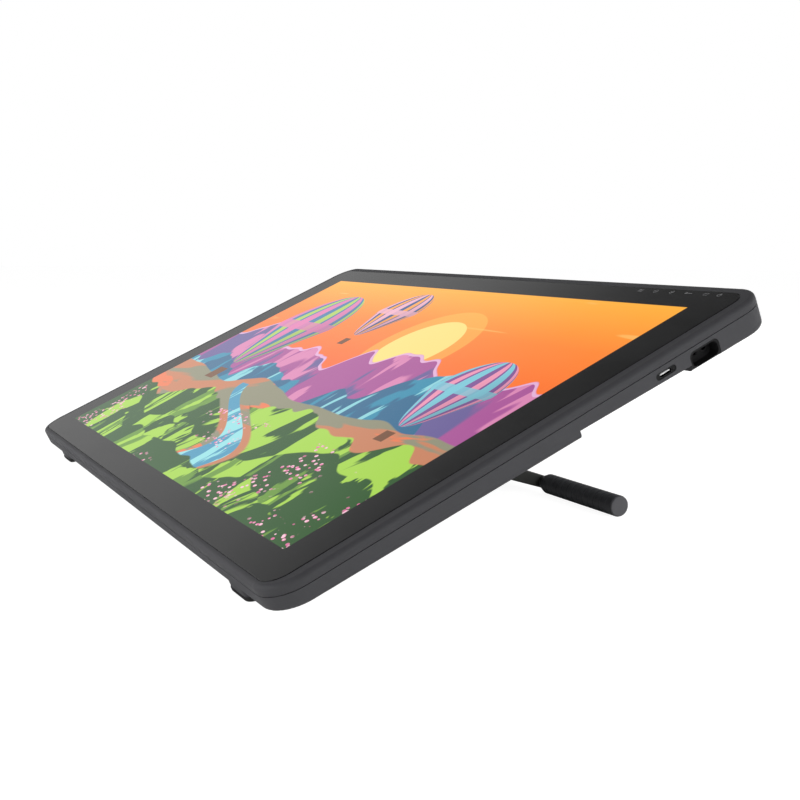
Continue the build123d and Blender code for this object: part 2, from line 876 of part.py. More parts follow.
with BuildPart() as back_cover:
    add(cover_shell.part)
    add(niche_tunnel.part)
    loft([relief_low_face, relief_high_face], ruled=True, mode=Mode.SUBTRACT)
    extrude(
        niche_section(side.offset(liner_back - overrun), 0),
        amount=half_width - liner_back + 2 * overrun,
        mode=Mode.SUBTRACT,
    )
    slot_through(
        side, liner_back - overrun, half_width + overrun, collar_width, collar_height,
        (side_port_row, -side_port_depth), Mode.SUBTRACT,
    )

# Lining of the port niche, with a panel that the sockets look out of and a floor along the back
liner_floor_depth = base_at(niche_low) - liner_wall
with BuildPart() as port_liner:
    extrude(niche_section(side.offset(liner_back), -liner_clearance), amount=half_width - liner_back)
    add(liner_limit, mode=Mode.INTERSECT)
    extrude(
        niche_section(side.offset(niche_floor), -liner_clearance - liner_wall, liner_floor_depth),
        amount=half_width,
        mode=Mode.SUBTRACT,
    )
    slot_through(
        side, liner_back - overrun, niche_floor + overrun,
        shell_width + 2 * shell_clearance, shell_height + 2 * shell_clearance,
        (niche_shell_row, -niche_shell_depth), Mode.SUBTRACT,
    )
    posts(
        side.offset(liner_back - overrun), [(socket_row, -socket_depth)],
        socket_nose_radius + socket_clearance, liner_wall + 2 * overrun, Mode.SUBTRACT,
    )

# Black collar round the port in the side wall
port_mouth = half_width - tan(radians(side_draft)) * (side_port_depth - parting_depth) - shell_recess
with BuildPart() as port_collar:
    slot_through(
        side, port_mouth - collar_reach, half_width,
        collar_width, collar_height, (side_port_row, -side_port_depth),
    )
    add(collar_limit, mode=Mode.INTERSECT)
    slot_through(
        side, port_mouth - collar_reach, half_width,
        shell_width + 2 * shell_clearance, shell_height + 2 * shell_clearance,
        (side_port_row, -side_port_depth), Mode.SUBTRACT,
    )


def port_shell(mouth, centre):
    """Folded metal shell of a small reversible port, closed at its back."""
    slot_through(side, mouth - shell_length, mouth, shell_width, shell_height, centre)
    slot_through(
        side, mouth - shell_length + shell_wall, mouth,
        shell_width - 2 * shell_wall, shell_height - 2 * shell_wall, centre, Mode.SUBTRACT,
    )


def port_tongue(mouth, centre):
    """Moulded block inside the shell, with the contact tongue on it."""
    inner = mouth - shell_length + shell_wall
    slot_through(
        side, inner, inner + tongue_base, shell_width - 2 * shell_wall, shell_height - 2 * shell_wall, centre
    )
    with BuildSketch(side.offset(inner + tongue_base)) as plate:
        with Locations(centre):
            Rectangle(tongue_plate_width, tongue_plate_height)
    extrude(plate.sketch, amount=tongue_plate_reach)


with BuildPart() as side_port_shell:
    port_shell(port_mouth, (side_port_row, -side_port_depth))

with BuildPart() as niche_port_shell:
    port_shell(niche_floor, (niche_shell_row, -niche_shell_depth))

with BuildPart() as port_tongues:
    port_tongue(port_mouth, (side_port_row, -side_port_depth))
    port_tongue(niche_floor, (niche_shell_row, -niche_shell_depth))

# Round power socket beside it, set into the edge of the board
socket_face = liner_back - socket_clearance
with BuildPart() as power_socket:
    with BuildSketch(side.offset(socket_face - socket_length)):
        with Locations((socket_row, -socket_depth)):
            Rectangle(socket_width, socket_height)
    extrude(amount=socket_length)
    posts(
        side.offset(socket_face), [(socket_row, -socket_depth)],
        socket_nose_radius, niche_floor - socket_face,
    )
    posts(
        side.offset(niche_floor - socket_bore_length), [(socket_row, -socket_depth)],
        socket_bore_radius, socket_bore_length, Mode.SUBTRACT,
    )
    posts(
        side.offset(niche_floor - socket_bore_length), [(socket_row, -socket_depth)],
        socket_pin_radius, socket_bore_length - liner_wall,
    )


def chips(column, row, width, height):
    """Components on the back of a board, placed by shares of its size."""
    with BuildSketch(head.offset(-board_back - chip_height)) as blocks:
        for across, up, wide, high in chip_shares:
            with Locations((column + across * width, row + up * height)):
                Rectangle(wide * width, high * height)
    extrude(blocks.sketch, amount=chip_height)


# Main board at the right, cut out round the power socket, with a tab under the side port
notch_length = shell_length + overrun
with BuildPart() as main_board:
    layer(board_front, board_back, main_width, main_height, board_corner, (main_column, main_row))
    with BuildSketch(head.offset(-board_back)):
        with Locations((main_right, side_port_row)):
            Rectangle(2 * main_tab_reach, main_tab_width)
    extrude(amount=board_thickness)
    # Notch that the port of the side wall sits in
    with BuildSketch(head.offset(-board_back)):
        with Locations((port_mouth - shell_length + notch_length / 2, side_port_row)):
            Rectangle(notch_length, shell_width + 2 * shell_clearance)
    extrude(amount=board_thickness, mode=Mode.SUBTRACT)
    chips(main_column, main_row, main_width, main_height)
    with BuildSketch(head.offset(-board_back)):
        with Locations((main_right, socket_row)):
            Rectangle(2 * socket_length + 2 * socket_clearance, socket_width + 2 * socket_clearance)
    extrude(amount=board_thickness, mode=Mode.SUBTRACT)
    posts(
        head.offset(-board_back), main_places, board_screw_radius + screw_clearance, board_thickness,
        Mode.SUBTRACT,
    )

with BuildPart() as pen_board:
    layer(
        board_front, board_back, pen_board_width, pen_board_height, board_corner,
        (pen_board_column, pen_board_row),
    )
    posts(
        head.offset(-board_back), pen_places, board_screw_radius + screw_clearance, board_thickness,
        Mode.SUBTRACT,
    )

with BuildPart() as board_standoffs:
    posts(head.offset(-board_front), main_places + pen_places, standoff_radius, standoff_height)
    posts(
        head.offset(-board_front), main_places + pen_places, board_screw_radius, standoff_height,
        Mode.SUBTRACT,
    )

with BuildPart() as board_screws:
    screws(
        head.offset(-board_back), main_places + pen_places, board_head_radius, board_head_height,
        board_screw_radius, board_back - chassis_back,
    )


def ribbon(points, plane, width):
    """A flat cable: a bent strip along points on a plane, as wide as it is spread both ways."""
    with BuildSketch(plane) as strip:
        with BuildLine() as run:
            Polyline(*points)
        trace(run.line, ribbon_thickness)
    extrude(strip.sketch, amount=width / 2, both=True)


# Flat cables on the back of the chassis: each leaves a slot or a board and lands on a board
lie = -chassis_back - ribbon_thickness / 2
land = -board_back - ribbon_thickness / 2
key_ribbon_row = chassis_height / 2
with BuildPart() as display_ribbon:
    ribbon(
        [
            (ribbon_start, -shield_back),
            (ribbon_start, lie),
            (main_left - ribbon_ramp, lie),
            (main_left - ribbon_thickness, land),
            (main_left + ribbon_landing, land),
        ],
        Plane(origin=head.from_local_coords((0, display_row, 0)), x_dir=(1, 0, 0), z_dir=-head.y_dir),
        ribbon_width,
    )

pen_ribbon_plane = Plane(
    origin=head.from_local_coords((0, pen_board_row, 0)), x_dir=(1, 0, 0), z_dir=-head.y_dir
)
with BuildPart() as digitizer_ribbon:
    ribbon(
        [
            (digitizer_ribbon_column, -shield_back),
            (digitizer_ribbon_column, lie),
            (pen_left - ribbon_ramp, lie),
            (pen_left - ribbon_thickness, land),
            (pen_left + ribbon_landing, land),
        ],
        pen_ribbon_plane,
        ribbon_width,
    )


with BuildPart() as link_ribbon:
    ribbon(
        [
            (pen_right - ribbon_landing, land),
            (pen_right + ribbon_thickness, land),
            (pen_right + ribbon_ramp, lie),
            (main_left - ribbon_ramp, lie),
            (main_left - ribbon_thickness, land),
            (main_left + ribbon_landing, land),
        ],
        Plane(origin=head.from_local_coords((0, link_row, 0)), x_dir=(1, 0, 0), z_dir=-head.y_dir),
        ribbon_width,
    )

with BuildPart() as key_ribbon:
    ribbon(
        [
            (key_ribbon_row, -pocket_depth),
            (key_ribbon_row, lie),
            (main_high + ribbon_ramp, lie),
            (main_high + ribbon_thickness, land),
            (main_high - ribbon_landing, land),
        ],
        side.offset(key_board_column),
        ribbon_narrow,
    )

with BuildPart() as case_screws:
    for column, row in case_places:
        seat = base_at(row) - case_seat
        screws(
            head.offset(-seat), [(column, row)], case_head_radius, case_head_height, case_thread_radius,
            seat - ledge_front - thread_floor,
        )

# Rubber pads under the front pedestals


def foot_pad(column):
    """A pad with a rounded underside, on whose front edge the display stands."""
    layer(pedestal_depth, pad_depth, pad_width, pad_length, pad_corner, (column, pad_middle))


with BuildPart() as front_foot_left:
    foot_pad(-foot_column)
    fillet(front_foot_left.faces().sort_by(Axis(head.origin, head.z_dir))[0].edges(), pad_round)

with BuildPart() as front_foot_right:
    foot_pad(foot_column)
    fillet(front_foot_right.faces().sort_by(Axis(head.origin, head.z_dir))[0].edges(), pad_round)


# Brass inserts behind the mounting face, in both square patterns
insert_places = square_places(vesa_pitch) + square_places(stand_pitch)
with BuildPart() as threaded_inserts:
    posts(mount_face.offset(insert_cover), insert_places, insert_radius, insert_length)
    posts(mount_face.offset(insert_cover), insert_places, thread_radius, insert_length, Mode.SUBTRACT)

# Stand bracket: a plate on the mounting face with two ears that hold the shaft
ear_height = hinge_drop - bracket_thickness / 2
with BuildPart() as stand_bracket:
    with BuildSketch(mount_face.offset(-bracket_thickness)):
        RectangleRounded(bracket_width, bracket_height, bracket_corner)
    extrude(amount=bracket_thickness)
    for near in (-ear_outer, ear_inner):
        with BuildSketch(hinge_side.offset(near)) as ear:
            with BuildLine():
                Polyline(
                    (-ear_foot, ear_height),
                    (-hub_radius, 0),
                    (hub_radius, 0),
                    (ear_foot, ear_height),
                    close=True,
                )
            make_face()
            Circle(hub_radius)
        extrude(ear.sketch, amount=ear_outer - ear_inner)
    turned(hinge_side, -ear_outer - overrun, ear_outer + overrun, shaft_radius, Mode.SUBTRACT)
    posts(
        mount_face.offset(-bracket_thickness), square_places(stand_pitch), thread_radius + screw_clearance,
        bracket_thickness, Mode.SUBTRACT,
    )

with BuildPart() as stand_screws:
    screws(
        mount_face.offset(-bracket_thickness), square_places(stand_pitch), stand_head_radius,
        stand_head_height, thread_radius, bracket_thickness + insert_cover + stand_screw_reach,
    )

with BuildPart() as hinge_shaft:
    turned(hinge_side, -shaft_end, shaft_end, shaft_radius)

# Leg: a cast plate with three knuckles on the shaft and a round lower edge on the foot bar
half_thick = leg_thickness / 2
knuckle_web = leg_start + knuckle_overlap
with BuildPart() as leg_frame:
    with BuildSketch(leg_side.offset(-leg_half_width)) as plate:
        with Locations(((leg_start + leg_length) / 2, 0)):
            Rectangle(leg_length - leg_start, leg_thickness)
        with Locations((leg_length, 0)):
            Circle(half_thick)
    extrude(plate.sketch, amount=2 * leg_half_width)
    fillet(leg_frame.edges().filter_by(Axis(leg.origin, leg.y_dir)), leg_edge_round)
    for start, end in (
        (-leg_half_width, -knuckle_inner),
        (-knuckle_centre, knuckle_centre),
        (knuckle_inner, leg_half_width),
    ):
        with BuildSketch(leg_side.offset(start)) as knuckle:
            Circle(hub_radius)
            with Locations((knuckle_web / 2, 0)):
                Rectangle(knuckle_web, leg_thickness)
        extrude(knuckle.sketch, amount=end - start)
    bush_radius = shaft_radius + running_gap + bush_wall
    turned(leg_side, -leg_half_width - overrun, leg_half_width + overrun, shaft_radius + running_gap,
           Mode.SUBTRACT)
    turned(leg_side, -leg_half_width - overrun, -knuckle_inner + overrun, bush_radius, Mode.SUBTRACT)
    turned(leg_side, knuckle_inner - overrun, leg_half_width + overrun, bush_radius, Mode.SUBTRACT)
    turned(bar_side, -leg_half_width - overrun, leg_half_width + overrun, rod_radius, Mode.SUBTRACT)
    with BuildSketch(leg.offset(-half_thick)) as panel_bed:
        with Locations((0, (panel_start + panel_end) / 2)):
            RectangleRounded(2 * panel_half_width, panel_end - panel_start, panel_corner)
    extrude(panel_bed.sketch, amount=panel_depth, mode=Mode.SUBTRACT)
    panel_column = panel_half_width - panel_screw_inset
    panel_places = [
        (s * panel_column, row)
        for s in (-1, 1)
        for row in (panel_start + panel_screw_inset, panel_end - panel_screw_inset)
    ]
    posts(leg.offset(panel_depth - half_thick), panel_places, panel_screw_radius,
          panel_screw_length - panel_depth, Mode.SUBTRACT)

with BuildPart() as leg_panel:
    with BuildSketch(leg.offset(-half_thick)):
        with Locations((0, (panel_start + panel_end) / 2)):
            RectangleRounded(
                2 * (panel_half_width - panel_clearance),
                panel_end - panel_start - 2 * panel_clearance,
                panel_corner - panel_clearance,
            )
    extrude(amount=panel_depth)
    posts(leg.offset(-half_thick), panel_places, panel_screw_radius + screw_clearance, panel_depth,
          Mode.SUBTRACT)
    posts(leg.offset(-half_thick), panel_places, panel_head_radius + screw_clearance, panel_head_height,
          Mode.SUBTRACT)

with BuildPart() as leg_panel_screws:
    screws(
        leg.offset(panel_head_height - half_thick), panel_places, panel_head_radius, panel_head_height,
        panel_screw_radius, panel_screw_length - panel_head_height,
    )

# Hinge fittings that turn with the leg, made alike at both ends of the shaft


def bush(start, end):
    turned(leg_side, start, end, bush_radius)
    turned(leg_side, start, end, shaft_radius + running_gap, Mode.SUBTRACT)


def brake_housing(start, end):
    turned(leg_side, start, end, hub_radius)
    turned(leg_side, start, end, hub_radius - brake_wall, Mode.SUBTRACT)


def brake_spring(start, end):
    turned(leg_side, start, end, brake_spring_radius)
    turned(leg_side, start, end, shaft_radius + running_gap, Mode.SUBTRACT)


with BuildPart() as hinge_bush_left:
    bush(-leg_half_width, -knuckle_inner)

with BuildPart() as hinge_bush_right:
    bush(knuckle_inner, leg_half_width)

with BuildPart() as brake_housing_left:
    brake_housing(-brake_end, -knuckle_centre)

with BuildPart() as brake_housing_right:
    brake_housing(knuckle_centre, brake_end)

with BuildPart() as brake_spring_left:
    brake_spring(-brake_end + brake_play, -knuckle_centre)

with BuildPart() as brake_spring_right:
    brake_spring(knuckle_centre, brake_end - brake_play)

with BuildPart() as hinge_cap_left:
    turned(leg_side, -leg_half_width - cap_thickness, -leg_half_width, hub_radius)
    chamfer(hinge_cap_left.faces().sort_by(Axis.X)[0].edges(), cap_bevel)

with BuildPart() as hinge_cap_right:
    turned(leg_side, leg_half_width, leg_half_width + cap_thickness, hub_radius)
    chamfer(hinge_cap_right.faces().sort_by(Axis.X)[-1].edges(), cap_bevel)

# Foot bar: a rod through the leg, a core tube on each end, and a ribbed rubber sleeve over it
with BuildPart() as foot_rod:
    turned(bar_side, -rod_end, rod_end, rod_radius)


def foot_core(start, end):
    turned(bar_side, start, end, core_radius)
    turned(bar_side, start, end, rod_radius, Mode.SUBTRACT)


with BuildPart() as foot_core_left:
    foot_core(-rod_end, -core_start)

with BuildPart() as foot_core_right:
    foot_core(core_start, rod_end)

rib_pitch = (sleeve_end - sleeve_shoulder) / rib_count


def foot_sleeve(way):
    """Half section of a ribbed sleeve on one side, turned about the foot bar."""
    groove_radius = sleeve_radius - rib_depth
    outline = [
        (sleeve_start, rod_radius),
        (sleeve_start, sleeve_neck_radius),
        (sleeve_shoulder, sleeve_radius),
    ]
    for rib in range(1, rib_count):
        groove_middle = sleeve_shoulder + rib * rib_pitch
        outline += [
            (groove_middle - rib_groove / 2, sleeve_radius),
            (groove_middle, groove_radius),
            (groove_middle + rib_groove / 2, sleeve_radius),
        ]
    outline += [
        (sleeve_end, sleeve_radius),
        (sleeve_end, rod_radius),
        (rod_end, rod_radius),
        (rod_end, core_radius),
        (core_start, core_radius),
        (core_start, rod_radius),
    ]
    section_plane = Plane(origin=bar_side.origin, x_dir=(way, 0, 0), z_dir=(0, -way, 0))
    with BuildSketch(section_plane) as section:
        with BuildLine():
            Polyline(*outline, close=True)
        make_face()
    revolve(section.sketch, axis=Axis(bar_side.origin, (1, 0, 0)))


with BuildPart() as foot_sleeve_left:
    foot_sleeve(-1)

with BuildPart() as foot_sleeve_right:
    foot_sleeve(1)

with BuildPart() as foot_cap_left:
    turned(bar_side, -sleeve_end - end_disc_thickness, -sleeve_end, end_disc_radius)
    chamfer(foot_cap_left.faces().sort_by(Axis.X)[0].edges(), end_disc_bevel)

with BuildPart() as foot_cap_right:
    turned(bar_side, sleeve_end, sleeve_end + end_disc_thickness, end_disc_radius)
    chamfer(foot_cap_right.faces().sort_by(Axis.X)[-1].edges(), end_disc_bevel)

# Release lever: two hubs on the shaft, joined by arms and a bar that the fingers pull
with BuildPart() as release_lever:
    for way in (-1, 1):
        near, far = sorted((way * lever_hub_inner, way * lever_hub_outer))
        turned(lever_side, near, far, hub_radius)
        near, far = sorted((way * lever_arm_inner, way * lever_arm_outer))
        with BuildSketch(lever_side.offset(near)) as arm:
            with Locations((lever_length / 2, 0)):
                Rectangle(lever_length, lever_arm_thickness)
            with Locations((lever_length, 0)):
                Circle(lever_bar_radius)
        extrude(arm.sketch, amount=far - near)
    with BuildSketch(lever_side.offset(-lever_arm_outer)) as bar:
        with Locations((lever_length, 0)):
            Circle(lever_bar_radius)
    extrude(bar.sketch, amount=2 * lever_arm_outer)
    turned(lever_side, -lever_hub_outer, lever_hub_outer, shaft_radius + running_gap, Mode.SUBTRACT)
    for way in (-1, 1):
        near, far = sorted((way * (lever_hub_inner + lever_cup), way * (lever_hub_outer + overrun)))
        turned(lever_side, near, far, lever_cup_radius, Mode.SUBTRACT)

with BuildPart() as lever_grip:
    with BuildSketch(lever_side.offset(-grip_half_length)):
        with Locations((lever_length, 0)):
            Circle(grip_radius)
            Circle(lever_bar_radius, mode=Mode.SUBTRACT)
    extrude(amount=2 * grip_half_length)
    outer_ends = lever_grip.edges().filter_by(GeomType.CIRCLE).sort_by(SortBy.RADIUS)[-2:]
    chamfer(outer_ends, grip_bevel)


def lever_spring(start, end):
    turned(hinge_side, start, end, lever_spring_radius)
    turned(hinge_side, start, end, shaft_radius + lever_spring_gap, Mode.SUBTRACT)


with BuildPart() as lever_spring_left:
    lever_spring(-ear_inner, -lever_hub_inner - lever_cup - lever_spring_gap)

with BuildPart() as lever_spring_right:
    lever_spring(lever_hub_inner + lever_cup + lever_spring_gap, ear_inner)

pieces = {
    "cover_glass": cover_glass,
    "edge_tape": edge_tape,
    "optical_bond": optical_bond,
    "lcd_panel": lcd_panel,
    "diffuser_sheets": diffuser_sheets,
    "light_guide": light_guide,
    "light_bar": light_bar,
    "reflector_sheet": reflector_sheet,
    "backlight_surround": backlight_surround,
    "backlight_tray": backlight_tray,
    "digitizer_board": digitizer_board,
    "shield_plate": shield_plate,
    "chassis_plate": chassis_plate,
    "chassis_screws": chassis_screws,
    "front_frame": front_frame,
    "touch_key_board": touch_key_board,
    "back_cover": back_cover,
    "port_liner": port_liner,
    "port_collar": port_collar,
    "side_port_shell": side_port_shell,
    "niche_port_shell": niche_port_shell,
    "port_tongues": port_tongues,
    "power_socket": power_socket,
    "main_board": main_board,
    "pen_board": pen_board,
    "board_standoffs": board_standoffs,
    "board_screws": board_screws,
    "display_ribbon": display_ribbon,
    "digitizer_ribbon": digitizer_ribbon,
    "link_ribbon": link_ribbon,
    "key_ribbon": key_ribbon,
    "case_screws": case_screws,
    "front_foot_left": front_foot_left,
    "front_foot_right": front_foot_right,
    "threaded_inserts": threaded_inserts,
    "stand_bracket": stand_bracket,
    "stand_screws": stand_screws,
    "hinge_shaft": hinge_shaft,
    "leg_frame": leg_frame,
    "leg_panel": leg_panel,
    "leg_panel_screws": leg_panel_screws,
    "hinge_bush_left": hinge_bush_left,
    "hinge_bush_right": hinge_bush_right,
    "brake_housing_left": brake_housing_left,
    "brake_housing_right": brake_housing_right,
    "brake_spring_left": brake_spring_left,
    "brake_spring_right": brake_spring_right,
    "hinge_cap_left": hinge_cap_left,
    "hinge_cap_right": hinge_cap_right,
    "foot_rod": foot_rod,
    "foot_core_left": foot_core_left,
    "foot_core_right": foot_core_right,
    "foot_sleeve_left": foot_sleeve_left,
    "foot_sleeve_right": foot_sleeve_right,
    "foot_cap_left": foot_cap_left,
    "foot_cap_right": foot_cap_right,
    "release_lever": release_lever,
    "lever_grip": lever_grip,
    "lever_spring_left": lever_spring_left,
    "lever_spring_right": lever_spring_right,
}
for name, piece in pieces.items():
    piece.part.label = name
    export_step(piece.part, "parts/" + name + ".step")

print("hinge at", [round(value, 3) for value in hinge_point], "leg lean", round(degrees(leg_lean), 3))
print("head at", [round(value, 3) for value in head.origin])
print("files", len(pieces))
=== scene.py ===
import math

import bpy
import bmesh
from mathutils import Euler, Matrix, Vector


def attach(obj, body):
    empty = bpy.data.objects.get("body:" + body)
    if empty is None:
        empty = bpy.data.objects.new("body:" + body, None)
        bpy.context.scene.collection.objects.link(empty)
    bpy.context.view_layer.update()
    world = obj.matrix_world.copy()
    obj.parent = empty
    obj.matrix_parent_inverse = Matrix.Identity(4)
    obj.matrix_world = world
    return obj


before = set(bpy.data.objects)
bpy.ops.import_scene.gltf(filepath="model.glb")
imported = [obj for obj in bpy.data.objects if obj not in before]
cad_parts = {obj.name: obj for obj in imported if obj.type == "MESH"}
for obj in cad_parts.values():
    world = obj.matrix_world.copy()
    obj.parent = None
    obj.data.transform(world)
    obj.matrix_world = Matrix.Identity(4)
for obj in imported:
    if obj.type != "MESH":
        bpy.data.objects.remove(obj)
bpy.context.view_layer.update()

# Lengths are in metres where nothing else is said.

# Glass: its lit area, and its plane, which leans back by TILT about HEAD
ACTIVE_WIDTH = 0.47664
ACTIVE_HEIGHT = 0.26811
TILT = math.radians(24.7)
HEAD = Vector((0.0, -0.005717, 0.08587))
GLASS = Matrix.Translation(HEAD) @ Matrix.Rotation(TILT, 4, "X")
BORDER_BLUR = 0.00015

# Camera: turn in degrees, lens and sensor in millimetres
CAMERA_PLACE = (0.764498, -0.332528, 0.177101)
CAMERA_TURN = (82.48187, -0.33483, 63.09285)
LENS = 53.6862
SENSOR_WIDTH = 36.0
NEAREST = 0.01
FARTHEST = 50.0

# Touch key marks: their row up the glass, their places across it, and their lines
KEY_ROW = 0.15085
MENU_PLACE = 0.1769
MINUS_PLACE = 0.1914
PLUS_PLACE = 0.2062
SLIDER_PLACE = 0.2209
WINDOW_PLACE = 0.2357
POWER_PLACE = 0.2470
INK_THICKNESS = 0.00004
THIN_LINE = 0.0004
THICK_LINE = 0.0005
RING_RADIUS = 0.0017
SIGN_WIDTH = 0.0016
MENU_WIDTH = 0.0042
MENU_STEP = 0.0011
SLIDER_WIDTH = 0.0062
SLIDER_KNOB_RADIUS = 0.0011
SLIDER_KNOB_OFFSET = -0.0020
WINDOW_WIDTH = 0.0034
WINDOW_HEIGHT = 0.0026
POWER_GAP = math.radians(70)
POWER_LINE_HEIGHT = 0.0016
POWER_LINE_RISE = 0.0012

# Floor: its disc, two tones in patches, and a glow that only the camera sees, with its share there
FLOOR_RADIUS = 8.0
FLOOR_SIDES = 96
FLOOR_DARK = (0.80, 0.80, 0.80, 1.0)
FLOOR_LIGHT = (0.83, 0.83, 0.83, 1.0)
FLOOR_GLOW = 1.56
FLOOR_GLOW_SHARE = 0.60

# Sky: two strengths, and the angles above the floor between which one turns into the other
LOW_SKY = 0.52
HIGH_SKY = 0.075
LOW_SKY_END = math.radians(24.6)
HIGH_SKY_START = math.radians(28.6)

# Lamps: name, place, the point that the lamp faces, the side of its square and its power in watts
LAMPS = (
    ("lamp_front", (-0.6, -1.9, 0.55), (0.0, 0.0, 0.06), 1.2, 34.0),
    ("lamp_right", (1.9, 0.5, 0.75), (0.2, 0.0, 0.06), 1.0, 21.0),
    ("lamp_back", (-0.4, 1.9, 0.4), (0.0, 0.0, 0.06), 1.2, 24.0),
)

BLACK = (0.0, 0.0, 0.0, 1.0)
WHITE = (1.0, 1.0, 1.0, 1.0)


def on_glass(across, up, above=0.0):
    """A point on the glass, in the part's frame."""
    return GLASS @ Vector((across, up, above))


def linear(red, green, blue):
    """A colour written in display values from 0 to 255."""
    def one(value):
        value /= 255
        return value / 12.92 if value <= 0.04045 else ((value + 0.055) / 1.055) ** 2.4
    return (one(red), one(green), one(blue), 1.0)


def toned(colour, factor, lift=0.0):
    """A colour made darker or lighter."""
    return tuple(min(1.0, c * factor + lift) for c in colour[:3]) + (1.0,)


def add_object(name, data):
    """A new object in the scene."""
    thing = bpy.data.objects.new(name, data)
    bpy.context.scene.collection.objects.link(thing)
    return thing


def add_camera():
    """The camera that takes the photograph's view."""
    data = bpy.data.cameras.new("camera")
    data.lens = LENS
    data.sensor_width = SENSOR_WIDTH
    data.clip_start = NEAREST
    data.clip_end = FARTHEST
    camera = add_object("camera", data)
    camera.location = CAMERA_PLACE
    camera.rotation_euler = Euler([math.radians(angle) for angle in CAMERA_TURN])
    bpy.context.scene.camera = camera


class Nodes:
    """Short ways to add shader nodes and link them. A value is a number, a colour or a socket."""

    def __init__(self, tree):
        self.tree = tree

    def add(self, kind, **settings):
        node = self.tree.nodes.new(kind)
        for key, value in settings.items():
            setattr(node, key, value)
        return node

    def put(self, socket, value):
        """Links a socket to the value, or sets the value on it."""
        if isinstance(value, bpy.types.NodeSocket):
            self.tree.links.new(value, socket)
        else:
            socket.default_value = value

    def math(self, operation, first, second=0.0, third=0.0, clamp=False):
        node = self.add("ShaderNodeMath", operation=operation, use_clamp=clamp)
        for socket, value in zip(node.inputs, (first, second, third)):
            self.put(socket, value)
        return node.outputs[0]

    def plus(self, first, second):
        return self.math("ADD", first, second)

    def minus(self, first, second):
        return self.math("SUBTRACT", first, second)

    def times(self, first, second):
        return self.math("MULTIPLY", first, second)

    def line(self, value, slope, start):
        """The value times slope, plus start."""
        return self.math("MULTIPLY_ADD", value, slope, start)

    def size_of(self, value):
        """The value without its sign."""
        return self.math("ABSOLUTE", value)

    def distance(self, first, second):
        node = self.add("ShaderNodeVectorMath", operation="DISTANCE")
        self.put(node.inputs[0], first)
        self.put(node.inputs[1], second)
        return node.outputs["Value"]

    def parts(self, vector):
        """The x, y and z of a vector."""
        node = self.add("ShaderNodeSeparateXYZ")
        self.put(node.inputs[0], vector)
        return node.outputs[:3]

    def ramp(self, value, stops, interpolation="LINEAR"):
        """Colours by value; each stop is a value from 0 to 1 and its colour."""
        node = self.add("ShaderNodeValToRGB")
        node.color_ramp.interpolation = interpolation
        elements = node.color_ramp.elements
        while len(elements) < len(stops):
            elements.new(0.5)
        for element, (place, colour) in zip(elements, stops):
            element.position = place
            element.color = colour
        self.put(node.inputs["Fac"], value)
        return node.outputs["Color"]

    def grade(self, value, low, high, to_low=0.0, to_high=1.0, interpolation="LINEAR"):
        """to_low where the value is low, to_high where it is high, and between them elsewhere."""
        node = self.add("ShaderNodeMapRange", interpolation_type=interpolation)
        self.put(node.inputs["Value"], value)
        self.put(node.inputs["From Min"], low)
        self.put(node.inputs["From Max"], high)
        self.put(node.inputs["To Min"], to_low)
        self.put(node.inputs["To Max"], to_high)
        return node.outputs["Result"]

    def over(self, share, below, above):
        """One colour covered with a share of another."""
        node = self.add("ShaderNodeMix", data_type="RGBA")
        self.put(node.inputs[0], share)
        self.put(node.inputs[6], below)
        self.put(node.inputs[7], above)
        return node.outputs[2]

    def noise(self, place, scale, detail=3.0, rough=0.5, twist=0.0):
        node = self.add("ShaderNodeTexNoise")
        self.put(node.inputs["Vector"], place)
        node.inputs["Scale"].default_value = scale
        node.inputs["Detail"].default_value = detail
        node.inputs["Roughness"].default_value = rough
        node.inputs["Distortion"].default_value = twist
        return node.outputs["Fac"]

    def line_noise(self, value, scale, seed, detail):
        """Noise along one direction."""
        node = self.add("ShaderNodeTexNoise", noise_dimensions="1D")
        self.put(node.inputs["W"], self.line(value, scale, seed))
        node.inputs["Scale"].default_value = 1.0
        node.inputs["Detail"].default_value = detail
        return node.outputs["Fac"]

    def place(self):
        """The place of a point, in the part's frame at rest."""
        return self.add("ShaderNodeTexCoord").outputs["Object"]

    def stretched(self, place, stretch, turn=0.0):
        """A place turned about z and scaled, so that a pattern gets a direction."""
        node = self.add("ShaderNodeMapping")
        self.put(node.inputs["Vector"], place)
        node.inputs["Rotation"].default_value = (0.0, 0.0, turn)
        node.inputs["Scale"].default_value = stretch
        return node.outputs["Vector"]


class Finish(Nodes):
    """A material with its main shader."""

    def __init__(self, name):
        self.material = bpy.data.materials.new(name)
        self.material.use_nodes = True
        super().__init__(self.material.node_tree)
        self.shader = self.tree.nodes["Principled BSDF"]

    def set(self, **values):
        """Sets or links the shader's sockets; an underscore in a name stands for a space."""
        for name, value in values.items():
            self.put(self.shader.inputs[name.replace("_", " ")], value)

    def bump(self, height, strength, distance):
        node = self.add("ShaderNodeBump")
        node.inputs["Strength"].default_value = strength
        node.inputs["Distance"].default_value = distance
        self.put(node.inputs["Height"], height)
        self.set(Normal=node.outputs["Normal"])


